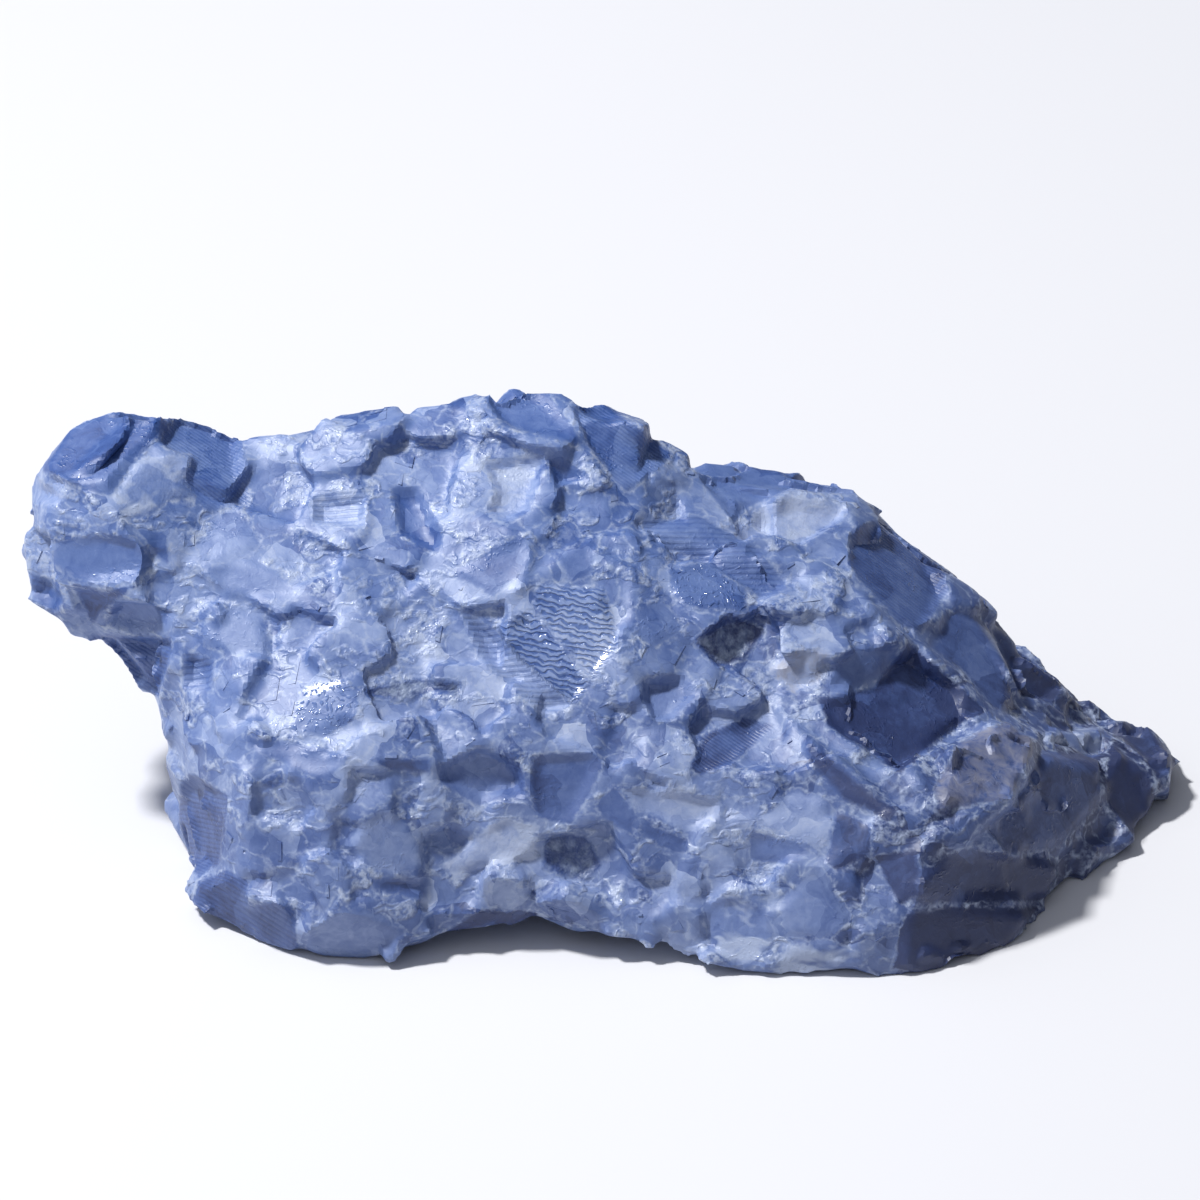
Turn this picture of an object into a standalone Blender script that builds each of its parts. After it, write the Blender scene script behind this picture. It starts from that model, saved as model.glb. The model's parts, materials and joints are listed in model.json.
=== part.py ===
"""A raw chunk of blue calcite, 150 mm long: one stone of grown-together grains, broken on all sides.

Frame: +X runs along the stone to its thin tip, -Y is the broad front, +Z is up. The origin is
on the table under the middle of the stone's box. Lengths below are millimetres.

The stone is laid out as a ship's hull is, with lines that give one measure at each place along X.
Its skin is then broken into grains. Each grain is a convex block, bounded by its neighbours and
by its own three cleavage planes, and the blocks and a core are joined into one solid.
"""

import math

import bpy
import bmesh
import numpy as np
from mathutils import Matrix, Vector
from mathutils.geometry import points_in_planes

MM = 0.001
SEED = 4

# The lines. Height in view is how high a point appears to an eye VIEW_TILT above the table, from
# the line where the front foot meets the table.
VIEW_TILT = math.radians(30.0)
FRONT_FOOT_Y = -38.0
# Skin that faces that eye by at least this much is the front
FRONT_FROM = 0.15

TOP_IN_VIEW = (
    (-75, 54.5), (-74.3, 61), (-72.5, 65), (-69.5, 69), (-64.5, 72.2), (-57, 71.8), (-50, 69.8),
    (-46, 68.8), (-40, 69.5), (-35, 72), (-22, 72.2), (-19, 73.6), (-15, 74), (-10.5, 75.2),
    (-7.5, 74.2), (-5.4, 72.2), (0, 73.2), (3.5, 70.5), (7.5, 66.8), (11, 66), (16, 65.8),
    (22, 65.2), (30, 63.4), (33.8, 61.8), (36, 57.8), (40, 54.6), (44.5, 52.2), (47.5, 49),
    (51.5, 44.2), (55, 40), (58.5, 36.8), (61.5, 33), (65, 31), (69, 30.4), (72.5, 28.4),
    (74.5, 26.6), (75, 25.6),
)
BOTTOM_IN_VIEW = (
    (-75, 53), (-74.2, 48), (-72, 44.8), (-68, 42.6), (-62.5, 39), (-59, 36.2), (-58, 31),
    (-57, 27), (-55.5, 22), (-54.4, 17), (-53.6, 10.5), (-52, 5.6), (-45.5, 3.8), (-36.5, 2.4),
    (-31, 1.2), (-24, 2.8), (-17.5, 5), (-9.5, 7.2), (0, 5), (8, 3), (18.5, 0.9), (22.5, 0),
    (29, 1), (40, -0.4), (48, 0.6), (51, 1.8), (54.7, 5), (58, 9), (63, 13.2), (67, 16),
    (70.5, 19.8), (73, 23), (75, 24.8),
)
RIDGE_Y = (
    (-75, 8), (-60, 12), (-40, 14), (-10, 16), (5, 14), (20, 17), (33, 18), (46, 16), (60, 12),
    (75, 9),
)
FOOT_Y = (
    (-75, 4), (-64, -3), (-58.5, -5), (-56.5, -10), (-54, -16), (-51.5, -26), (-46, -32),
    (-36, -36), (-30, -37), (-20, -34), (-9, -33), (3, -35), (15, -37), (22, -38), (40, -38),
    (47, -35), (51, -30), (55, -24), (60, -15), (66, -9), (72, 4), (75, 8),
)
BACK_Y = (
    (-75, 12), (-71, 20), (-62, 27), (-50, 31), (-35, 36), (-10, 38), (14, 38), (34, 36),
    (48, 32), (58, 27), (66, 21), (72, 15), (75, 11),
)
UNDERSIDE_Z = (
    (-75, 34), (-66, 28), (-60, 23), (-57, 15), (-53, 4), (-48, -1), (-34, -2), (-24, 1.2),
    (-8, 3), (6, 1.5), (16, -1.5), (42, -2), (50, -0.5), (58, 1), (70, 1.6), (75, 4),
)
LOWER_BULGE = (
    (-75, 2), (-68, 6), (-57, 8), (-50, 10), (-30, 9), (0, 7), (20, 9), (36, 12), (50, 15),
    (57, 10), (66, 5), (75, 1),
)
UPPER_BULGE = (
    (-75, 2), (-68, 6), (-57, 6), (-30, 6), (0, 6), (20, 7), (36, 8), (50, 9), (60, 4), (75, 1),
)

# Where the other corners of a section lie, as shares of the chord, the rise and the depth behind
LOWER_SHARE = 0.33
UPPER_SHARE = 0.68
SHOULDER_BACK = 0.55
SHOULDER_SLOPE = 0.66
SHOULDER_DROP = 0.04
BACK_HEIGHT = 0.5
LOW_BACK_IN = 0.12
LOW_BACK_HEIGHT = 0.16
BACK_UNDER_IN = 0.4
FRONT_UNDER_IN = 0.25

SKIN_STEP = 1.3
SKIN_AROUND = 150
# The grains have grown together to this depth below the skin, and gaps between them end there
GROWN_BELOW = 1.8
CORE_LEAST = 0.5
CORE_STATION_STEP = 3
CORE_AROUND_STEP = 5
CORE_FLOOR = 1.0

# Hollows and swellings of the front: (x, height in view, half width, half height, rise)
RELIEF = (
    (-44, 66, 4, 6, -2.5),
    (-58, 56, 9, 7, 1.5),
    (40, 34, 13, 5, -5.5),
    (24, 47, 12, 4, 2.0),
    (52, 30, 8, 4, 2.0),
    (-24, 47, 10, 8, -1.2),
    (30, 10, 12, 7, 1.8),
    (-12, 10, 12, 5, -1.8),
    (-34, 10, 10, 7, 1.2),
    (5, 57, 9, 5, -1.5),
    (17, 41.5, 4, 3.5, -2.4),
    (-27, 36, 4, 3, -1.6),
    (-3.3, 15, 4.5, 3, -2.2),
    (16.6, 30.4, 4.5, 3, -1.8),
)

# Calcite's three cleavage planes lie evenly round one axis, with 75 degrees between their normals.
CLEAVAGE_LEAN = math.radians(44.6)
CLEAVAGE_AXES = 3

# Grains that stand out on the front: (x, height in view, radius, sunk by, lean towards +X, lean up)
NAMED_GRAINS = (
    (-64.5, 66.5, 7, 0, -7, 10),
    (-52.5, 66, 6.5, 0, 5, 9),
    (-56.5, 60.5, 5.5, 0.2, -2, -4),
    (-66.5, 53, 6, 0, -5, 2),
    (-63.5, 45.5, 5.5, 0.4, -4, -13),
    (-48, 55.5, 4.5, -0.4, 3, 1),
    (-50.8, 22, 5, 0.6, -11, 0),
    (-50, 15.5, 4.6, 0.6, -11, -2),
    (-47, 8, 5.5, 0, -8, -6),
    (-30.5, 5.5, 5, 0, 2, -2),
    (-5.9, 44, 7.6, 0.3, 3, 1.5),
    (-17.5, 39.5, 5.5, 0.9, 7, -3),
    (-5.3, 24.5, 5.2, -0.8, 1, -5),
    (-35, 60, 4.5, 0, 0, 3),
    (5.8, 44.5, 4.6, -0.2, 2, 2),
    (12, 47.8, 5, -0.6, 4, 6),
    (17, 41.5, 4, 0.9, 0, -3),
    (-27, 36, 3.8, 0.8, 2, -4),
    (-3.3, 15, 3.8, 0.9, 3, 5),
    (16.6, 30.4, 4.2, 0.7, 5, 7),
    (36.5, 33.5, 8, 1.6, 2, 5),
    (26.5, 36, 4.5, 0.6, -3, 3),
    (38, 50, 7, 0, 8, 4),
    (48.5, 42, 6, 0, 10, 1),
    (-10, 71, 4.8, -0.6, -3, 8),
    (1.5, 69, 5.2, -0.4, 7, 7),
    (19, 60, 3.4, 1.8, 5, 0),
    (26, 58.5, 5.5, -0.2, 2, 5),
    (44.5, 12.5, 8, 0.4, 9, -7),
    (62, 23.5, 6, 0.2, 8, -5),
    (71, 27.5, 4.6, 0, 8, 6),
    (52, 26, 4.4, -0.4, 3, 8),
    (27.5, 19.5, 6, 0, -2, 1),
    (25, 8.5, 6, -0.3, -4, -4),
    (6, 17.5, 5, -0.3, 6, -2),
    (-13.6, 62.5, 6.5, 0.2, 2, 1),
    (-26.5, 61.5, 5.5, 0.4, -3, 2),
    (-17.5, 53, 6.2, -0.2, -5, -3),
    (-24, 14, 6, 0.2, 3, 3),
    (-41, 36, 5, 0.5, -6, 2),
)

# The other grains: their spacing over the front and over the rest, and how their sizes vary
FRONT_SPACING = 6.6
REST_SPACING = 9.6
SPACING_RANGE = (0.62, 1.3)
CROWDING = 0.93
FRONT_LEAN = math.radians(13.0)
REST_LEAN = math.radians(19.0)
HEIGHT_JITTER = 0.9
SEED_DEPTH = 2.2
GRAIN_DEPTH = 11.0
WALL_OVERLAP = 0.12
# Larger grains are often split into slabs side by side, that stand at stepped heights
SLAB_SHARE = 0.6
SLAB_MIN_RADIUS = 2.9
SLAB_OFFSET = 0.5
SLAB_RADIUS = 0.82
SLAB_STEP = (0.3, 1.1)
# How many grains grew on from a neighbour in its own direction, and how far off that may face
KIN_SHARE = 0.45
KIN_REACH = 12.0
KIN_ANGLE = math.radians(32.0)
# A cleavage plane bounds a grain where it faces outwards. The broad face cuts through the grain's
# patch of skin at the first share, and the others at the second.
OUTWARD_FROM = 0.3
BROAD_LEVEL = 0.56
SIDE_LEVEL = 0.97
# A patch of skin that is taller than this share of its width goes round an edge, and is cut to fit
EDGE_BEND = 0.42
PAST_PATCH = 0.4
PAST_FLAT_PATCH = 1.3
NEIGHBOURS = 24
GUARDS_ROUND = 6

SAME_POINT = 0.01
FLAT_WITHIN = math.radians(0.5)
TRIANGLES = 9600
FOOT_FLATNESS = 0.08


def at(line, x):
    """The measure of a line at x, straight between its points."""
    return np.interp(x, [point[0] for point in line], [point[1] for point in line])


def height_in_view(y, z):
    return z * math.cos(VIEW_TILT) + (y - FRONT_FOOT_Y) * math.sin(VIEW_TILT)


def z_from_view(height, y):
    return (height - (y - FRONT_FOOT_Y) * math.sin(VIEW_TILT)) / math.cos(VIEW_TILT)


def section(x):
    """The stone's cross-section at x, as corners (y, z) from the front foot over the ridge and round."""
    foot_y, ridge_y, back_y = at(FOOT_Y, x), at(RIDGE_Y, x), at(BACK_Y, x)
    foot = np.array((foot_y, z_from_view(at(BOTTOM_IN_VIEW, x), foot_y)))
    ridge = np.array((ridge_y, z_from_view(at(TOP_IN_VIEW, x), ridge_y)))
    under = min(at(UNDERSIDE_Z, x), foot[1])
    chord = ridge - foot
    outward = np.array((-chord[1], chord[0])) / np.linalg.norm(chord)
    lower = foot + LOWER_SHARE * chord + at(LOWER_BULGE, x) * outward
    upper = foot + UPPER_SHARE * chord + at(UPPER_BULGE, x) * outward
    rise = ridge[1] - under
    depth = back_y - ridge_y
    shoulder_back = SHOULDER_BACK * depth
    return np.array((
        foot,
        lower,
        upper,
        ridge,
        (ridge_y + shoulder_back, ridge[1] - SHOULDER_SLOPE * shoulder_back - SHOULDER_DROP * rise),
        (back_y, under + BACK_HEIGHT * rise),
        (back_y - LOW_BACK_IN * depth, under + LOW_BACK_HEIGHT * rise),
        (back_y - BACK_UNDER_IN * depth, under),
        (foot_y + FRONT_UNDER_IN * (ridge_y - foot_y), under),
    ))


def resampled(corners, count):
    """count points spaced evenly round a closed outline."""
    closed = np.vstack((corners, corners[:1]))
    along = np.concatenate(((0,), np.cumsum(np.linalg.norm(np.diff(closed, axis=0), axis=1))))
    where = np.linspace(0, along[-1], count, endpoint=False)
    return np.stack([np.interp(where, along, closed[:, k]) for k in range(2)], axis=1)


def stone_skin():
    """(points, normals) spread over the smooth stone that the grains follow."""
    first, last = TOP_IN_VIEW[0][0], TOP_IN_VIEW[-1][0]
    stations = np.linspace(first, last, int((last - first) / SKIN_STEP) + 1)
    rings = np.array([resampled(section(x), SKIN_AROUND) for x in stations])
    points = np.dstack((np.repeat(stations[:, None], SKIN_AROUND, axis=1), rings))
    along = np.gradient(points, axis=0)
    round_it = np.roll(points, -1, axis=1) - np.roll(points, 1, axis=1)
    normals = np.cross(along, round_it).reshape(-1, 3)
    points = points.reshape(-1, 3)
    normals /= np.maximum(np.linalg.norm(normals, axis=1, keepdims=True), 1e-9)
    middle = np.repeat(rings.mean(axis=1), SKIN_AROUND, axis=0)
    away = ((points[:, 1:] - middle) * normals[:, 1:]).sum(axis=1).sum()
    normals *= math.copysign(1, away)
    height = height_in_view(points[:, 1], points[:, 2])
    faces_front = np.clip(facing_view(normals) * 2, 0, 1)
    for x, level, half_width, half_height, rise in RELIEF:
        spread = ((points[:, 0] - x) / half_width) ** 2 + ((height - level) / half_height) ** 2
        points = points + (rise * np.exp(-spread) * faces_front)[:, None] * normals
    return points, normals


def facing_view(normals):
    """How far normals face the eye that the lines were drawn for, from -1 to 1."""
    return -normals[:, 1] * math.cos(VIEW_TILT) + normals[:, 2] * math.sin(VIEW_TILT)


def spread_grains(points, normals, draw):
    """One dict for each grain: where it is, how big, how far it is sunk and how it leans.

    kin is the grain that it shares its cleavage with, if any.
    """
    height = height_in_view(points[:, 1], points[:, 2])
    front = facing_view(normals) > FRONT_FROM
    grains = []
    for x, level, radius, sunk, lean_x, lean_up in NAMED_GRAINS:
        off = np.hypot(points[:, 0] - x, height - level) + np.where(front, 0, 1e3)
        lean = (math.radians(lean_x), math.radians(lean_up))
        grains.append({"skin": int(off.argmin()), "radius": radius, "sunk": sunk, "lean": lean})
    places = [points[g["skin"]] for g in grains]
    radii = [g["radius"] for g in grains]
    for i in draw.permutation(len(points)):
        spacing = (FRONT_SPACING if front[i] else REST_SPACING) * draw.uniform(*SPACING_RANGE)
        away = np.linalg.norm(np.array(places) - points[i], axis=1)
        if (away < (np.array(radii) + spacing / 2) * CROWDING).any():
            continue
        places.append(points[i])
        radii.append(spacing / 2)
        sunk = draw.uniform(-HEIGHT_JITTER, HEIGHT_JITTER)
        grains.append({"skin": int(i), "radius": spacing / 2, "sunk": sunk, "lean": None})
    for grain in grains:
        depth = 0.0 if grain["lean"] else draw.uniform(-SEED_DEPTH, SEED_DEPTH)
        grain["at"] = points[grain["skin"]] + depth * normals[grain["skin"]]
        grain["kin"] = None
    return grains + slabs(grains, normals, draw)


def slabs(grains, normals, draw):
    """Splits some grains in two, and gives back the second halves."""
    halves = []
    for i, grain in enumerate(grains):
        if grain["radius"] < SLAB_MIN_RADIUS or draw.random() > SLAB_SHARE:
            continue
        normal = normals[grain["skin"]]
        shift = turned(across(normal), normal, draw.uniform(0, math.tau))
        shift = shift * grain["radius"] * SLAB_OFFSET
        step = draw.uniform(*SLAB_STEP)
        radius = grain["radius"] * SLAB_RADIUS
        half = dict(grain, at=grain["at"] - shift, radius=radius, sunk=grain["sunk"] + step, kin=i)
        halves.append(half)
        grain["at"] = grain["at"] + shift
        grain["radius"] = radius
    return halves


def turned(vector, axis, angle):
    """vector turned about axis, by the right-hand rule."""
    axis = axis / np.linalg.norm(axis)
    return (
        vector * math.cos(angle)
        + np.cross(axis, vector) * math.sin(angle)
        + axis * (axis @ vector) * (1 - math.cos(angle))
    )


def across(direction):
    """A unit vector square to direction."""
    side = np.cross(direction, (0.0, 0.0, 1.0) if abs(direction[2]) < 0.9 else (1.0, 0.0, 0.0))
    return side / np.linalg.norm(side)


def cleavage_normals(face, spin):
    """The six outward cleavage normals of a grain that has one of its faces towards face."""
    side = turned(across(face), face, spin)
    axis = turned(face, side, CLEAVAGE_LEAN)
    normals = [turned(face, axis, math.tau * k / CLEAVAGE_AXES) for k in range(CLEAVAGE_AXES)]
    return np.array(normals + [-n for n in normals])


def leaning_face(grain, normal, draw):
    """The way that a grain's broad cleavage face points, near the normal of the skin."""
    if grain["lean"] is None:
        limit = FRONT_LEAN if facing_view(normal[None])[0] > FRONT_FROM else REST_LEAN
        side = turned(across(normal), normal, draw.uniform(0, math.tau))
        return turned(normal, side, min(abs(draw.normal(0, limit)), 2 * limit))
    lean_x, lean_up = grain["lean"]
    face = turned(normal, np.array((0.0, 0.0, 1.0)), lean_x)
    return turned(face, np.array((1.0, 0.0, 0.0)), -lean_up)


def grain_planes(grain, patch, normal, cleavage):
    """The outer planes of a grain, each as (normal, offset), that follow its patch of the skin."""
    planes = []
    towards = cleavage @ normal
    broad = towards.argmax()
    for k in np.nonzero(towards > OUTWARD_FROM)[0]:
        level = np.quantile(patch @ cleavage[k], BROAD_LEVEL if k == broad else SIDE_LEVEL)
        planes.append((cleavage[k], level - grain["sunk"] * towards[k]))
    # The patch's own reach, so that a grain at an edge or a tip of the stone doesn't run past it
    side = across(normal)
    rise = np.ptp(patch @ normal)
    width = max(np.ptp(patch @ side), np.ptp(patch @ np.cross(normal, side)))
    planes.append((normal, (patch @ normal).max() + PAST_PATCH))
    for k in range(GUARDS_ROUND):
        tangent = turned(side, normal, math.tau * k / GUARDS_ROUND)
        slant = (tangent + normal) / math.sqrt(2)
        planes.append((tangent, (patch @ tangent).max() + PAST_PATCH))
        past = PAST_PATCH if rise > EDGE_BEND * width else PAST_FLAT_PATCH
        planes.append((slant, (patch @ slant).max() + past))
    planes.append((-normal, GRAIN_DEPTH - (patch @ normal).min()))
    planes.append((np.array((0.0, 0.0, -1.0)), 0.0))
    return planes


def block(name, planes):
    """A convex mesh object bounded by planes, each (normal, offset), or None if nothing is left."""
    rows = [Vector((*normal, -offset)) for normal, offset in planes]
    corners, _ = points_in_planes(rows)
    if len(corners) < 4:
        return None
    mesh = bmesh.new()
    for corner in corners:
        mesh.verts.new(corner * MM)
    bmesh.ops.remove_doubles(mesh, verts=mesh.verts, dist=SAME_POINT * MM)
    hull = bmesh.ops.convex_hull(mesh, input=mesh.verts)
    loose = [v for v in hull["geom_interior"] + hull["geom_unused"] if isinstance(v, bmesh.types.BMVert)]
    bmesh.ops.delete(mesh, geom=list(set(loose)), context="VERTS")
    bmesh.ops.dissolve_limit(
        mesh, angle_limit=FLAT_WITHIN, use_dissolve_boundaries=False,
        verts=mesh.verts, edges=mesh.edges,
    )
    bmesh.ops.recalc_face_normals(mesh, faces=mesh.faces)
    made = bpy.data.meshes.new(name)
    mesh.to_mesh(made)
    mesh.free()
    return bpy.data.objects.new(name, made)


def grain_blocks(points, normals, draw):
    """The grains' blocks, in a collection of their own."""
    grains = spread_grains(points, normals, draw)
    places = np.array([g["at"] for g in grains])
    weights = np.array([g["radius"] for g in grains]) ** 2
    owner = np.empty(len(points), int)
    for start in range(0, len(points), 2000):
        part = points[start:start + 2000]
        far = ((part[:, None] - places[None]) ** 2).sum(axis=2) - weights[None]
        owner[start:start + 2000] = far.argmin(axis=1)
    blocks = bpy.data.collections.new("grains")
    bpy.context.scene.collection.children.link(blocks)
    cleavages = []
    for i, grain in enumerate(grains):
        apart = places - places[i]
        far = np.linalg.norm(apart, axis=1)
        patch = points[owner == i]
        if len(patch) < 4:
            cleavages.append(cleavage_normals(normals[0], 0.0))
            continue
        normal = normals[owner == i].mean(axis=0)
        normal /= np.linalg.norm(normal)
        cleavage = cleavage_normals(leaning_face(grain, normal, draw), draw.uniform(0, math.tau))
        kin = grain["kin"]
        if kin is None and grain["lean"] is None and draw.random() < KIN_SHARE:
            kin = int(far[:i].argmin())
        if kin is not None and far[kin] < KIN_REACH:
            if (cleavages[kin] @ normal).max() > math.cos(KIN_ANGLE):
                cleavage = cleavages[kin]
        cleavages.append(cleavage)
        planes = grain_planes(grain, patch, normal, cleavage)
        for j in far.argsort()[1:NEIGHBOURS + 1]:
            towards = apart[j] / far[j]
            share = (far[j] ** 2 + weights[i] - weights[j]) / (2 * far[j])
            planes.append((towards, places[i] @ towards + share + WALL_OVERLAP))
        made = block(f"grain_{i:03d}", planes)
        if made:
            blocks.objects.link(made)
    return blocks


def core(points):
    """The stone's inside: the skin drawn in to where the grains have grown together."""
    rings = points.reshape(-1, SKIN_AROUND, 3)[CORE_STATION_STEP:-CORE_STATION_STEP:CORE_STATION_STEP]
    rings = rings[:, ::CORE_AROUND_STEP]
    middles = rings.mean(axis=1, keepdims=True)
    reach = np.linalg.norm(rings - middles, axis=2, keepdims=True)
    rings = middles + (rings - middles) * np.maximum(1 - GROWN_BELOW / reach, CORE_LEAST)
    rings[..., 2] = np.maximum(rings[..., 2], CORE_FLOOR)
    mesh = bmesh.new()
    corners = [[mesh.verts.new(Vector(place) * MM) for place in ring] for ring in rings]
    for one, two in zip(corners, corners[1:]):
        for k in range(len(one)):
            after = (k + 1) % len(one)
            mesh.faces.new((one[k], one[after], two[after], two[k]))
    mesh.faces.new(corners[0][::-1])
    mesh.faces.new(corners[-1])
    bmesh.ops.triangulate(mesh, faces=mesh.faces)
    bmesh.ops.recalc_face_normals(mesh, faces=mesh.faces)
    made = bpy.data.meshes.new("calcite_chunk")
    mesh.to_mesh(made)
    mesh.free()
    stone = bpy.data.objects.new("calcite_chunk", made)
    bpy.context.scene.collection.objects.link(stone)
    return stone


def calcite():
    """Blue calcite: a cloudy pale blue, with the shine of broken glass."""
    material = bpy.data.materials.new("blue_calcite")
    material.use_nodes = True
    shader = material.node_tree.nodes["Principled BSDF"]
    shader.inputs["Base Color"].default_value = (0.21, 0.31, 0.60, 1.0)
    shader.inputs["Roughness"].default_value = 0.32
    shader.inputs["Metallic"].default_value = 0.0
    shader.inputs["IOR"].default_value = 1.6
    return material


def shells(mesh):
    """The separate closed surfaces of a bmesh, as lists of faces."""
    left = set(mesh.faces)
    found = []
    while left:
        waiting = [left.pop()]
        shell = []
        while waiting:
            face = waiting.pop()
            shell.append(face)
            for edge in face.edges:
                for other in edge.link_faces:
                    if other in left:
                        left.discard(other)
                        waiting.append(other)
        found.append(shell)
    return found


def join_blocks(stone, blocks):
    """Joins the blocks to the core, and fills the small gaps that they leave inside."""
    join = stone.modifiers.new("join grains", "BOOLEAN")
    join.operation = "UNION"
    join.operand_type = "COLLECTION"
    join.collection = blocks
    join.solver = "MANIFOLD"
    graph = bpy.context.evaluated_depsgraph_get()
    mesh = bmesh.new()
    mesh.from_object(stone, graph)
    stone.modifiers.clear()
    pieces = sorted(shells(mesh), key=len)
    for shell in pieces[:-1]:
        bmesh.ops.delete(mesh, geom=shell, context="FACES")
    mesh.to_mesh(stone.data)
    mesh.free()
    for made in list(blocks.objects):
        bpy.data.objects.remove(made)
    bpy.data.collections.remove(blocks)


def without_slivers(stone):
    """Takes out the shortest edges, where three grains meet, and keeps the feet flat."""
    stone.data.calc_loop_triangles()
    thin = stone.modifiers.new("slivers", "DECIMATE")
    thin.ratio = min(1.0, TRIANGLES / len(stone.data.loop_triangles))
    thin.use_collapse_triangulate = True
    mesh = bmesh.new()
    mesh.from_object(stone, bpy.context.evaluated_depsgraph_get())
    stone.modifiers.clear()
    bmesh.ops.triangulate(mesh, faces=mesh.faces)
    for corner in mesh.verts:
        if corner.co.z < FOOT_FLATNESS * MM:
            corner.co.z = 0.0
    mesh.to_mesh(stone.data)
    mesh.free()


def main():
    for old in list(bpy.data.objects):
        bpy.data.objects.remove(old)
    draw = np.random.default_rng(SEED)
    points, normals = stone_skin()
    stone = core(points)
    join_blocks(stone, grain_blocks(points, normals, draw))
    without_slivers(stone)
    corners = np.array([corner[:] for corner in stone.bound_box])
    middle = (corners.min(axis=0) + corners.max(axis=0)) / 2
    stone.data.transform(Matrix.Translation((-middle[0], -middle[1], 0.0)))
    stone.data.materials.clear()
    stone.data.materials.append(calcite())


main()
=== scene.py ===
"""A raw chunk of blue calcite, finished for the camera.

The frame gives the stone's solid. Here its broad faces get what a hand lens shows: the small blocks
that calcite breaks into, standing out of each other by a fraction of a millimetre, and the look of a
cloudy blue crystal that is glassy on its cleavage faces and frosty where it is bruised. Part of its
colour is painted light and shade: white sheen and glare on a few faces, a paler top, and a deeper
blue where it lies in shade.

Frame: +X runs along the stone to its thin tip, -Y is the broad front, +Z is up.
"""

import json
import math

import bpy
import bmesh
import numpy as np
from mathutils import Matrix, Vector
from mathutils.bvhtree import BVHTree

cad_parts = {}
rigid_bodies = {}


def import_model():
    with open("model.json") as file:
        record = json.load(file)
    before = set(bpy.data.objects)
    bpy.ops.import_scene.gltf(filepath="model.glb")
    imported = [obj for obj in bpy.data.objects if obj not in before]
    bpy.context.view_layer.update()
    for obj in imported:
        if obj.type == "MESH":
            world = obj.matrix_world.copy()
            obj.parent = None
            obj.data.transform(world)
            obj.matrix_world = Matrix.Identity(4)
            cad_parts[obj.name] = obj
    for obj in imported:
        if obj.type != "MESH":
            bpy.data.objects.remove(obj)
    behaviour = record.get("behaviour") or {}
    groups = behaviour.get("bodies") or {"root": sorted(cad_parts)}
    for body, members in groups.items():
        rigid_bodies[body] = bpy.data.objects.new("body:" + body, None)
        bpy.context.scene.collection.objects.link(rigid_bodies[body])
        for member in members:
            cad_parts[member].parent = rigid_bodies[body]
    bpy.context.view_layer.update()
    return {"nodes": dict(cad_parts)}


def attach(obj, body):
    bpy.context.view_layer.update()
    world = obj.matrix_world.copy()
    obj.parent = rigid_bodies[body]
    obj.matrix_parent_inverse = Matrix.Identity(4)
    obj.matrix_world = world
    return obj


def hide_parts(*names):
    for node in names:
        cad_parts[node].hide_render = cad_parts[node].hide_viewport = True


MM = 0.001
SEED = 21

# The camera: a long lens, as high above the table as the photograph's
VIEW_TILT = math.radians(30.0)
VIEW_DISTANCE = 1.6
PIXELS_PER_MM = 7.79
PICTURE_PIXELS = 1200
SENSOR_WIDTH = 36.0
AIM_X = -0.7
AIM_HEIGHT_IN_VIEW = 29.07
LOWEST_IN_VIEW = -18.7

# Calcite's cleavage block: its edges meet at 101.9 degrees at the blunt corner
BLOCK_ANGLE = math.radians(101.9)

# Corners this near to each other, or to a cut, count as one. Faces at less than this angle are one face.
MERGED = 0.001 * MM
FLAT_FACE = math.radians(3.0)
FACES_UP = 0.9

# Small blocks, in millimetres: spacing, shorter side, how much longer the longer side is, depth, and how
# far the middle of the top stands out of the stone
FRONT_SPACING = 2.9
REST_SPACING = 4.2
FRONT_SIDE = (1.1, 3.9)
REST_SIDE = (2.4, 5.0)
STRETCH = (1.0, 2.4)
BLOCK_DEPTH = 3.2
STAND_OUT = (-0.07, 0.05)
PLACES_TRIED = 60000
# All the blocks of one broad face lie nearly the same way, and a few lie across. They follow the healed
# stone under them this much more than the solid's own face.
FACE_TILT = math.radians(3.5)
BLOCK_TILT = math.radians(1.6)
CROSS_SHARE = 0.18
CROSS_TILT = math.radians(11.0)
FOLLOW = 1.5
# A block shrinks until its corners are this near to the healed stone and stand out of it by no more than
# this, in millimetres. One that doesn't fit after some rounds is left out.
OVERHANG = 0.34
PROUD = 0.13
SHRINK = 0.78
SHRINK_ROUNDS = 5
# How far blocks keep off the panes, in millimetres
OFF_PANE = 0.4
# How far a face must turn to the camera to be part of the front, and to not be part of its outline
SEEN = 0.05
GRAZING = 0.3
# The faces that the stone rests on: how far they face down, and how high they reach, in millimetres
FACES_DOWN = 0.9
RESTS_WITHIN = 0.3

# The grains have healed together: what fills the gaps between them in millimetres, how far their edges
# are worn, and from which angle on an edge stays sharp
HEALED = 0.62
WEAR = 0.5
WORN_ROUNDS = 3
SHARP = math.radians(18.0)
TRIANGLES_KEPT = 0.77
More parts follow.
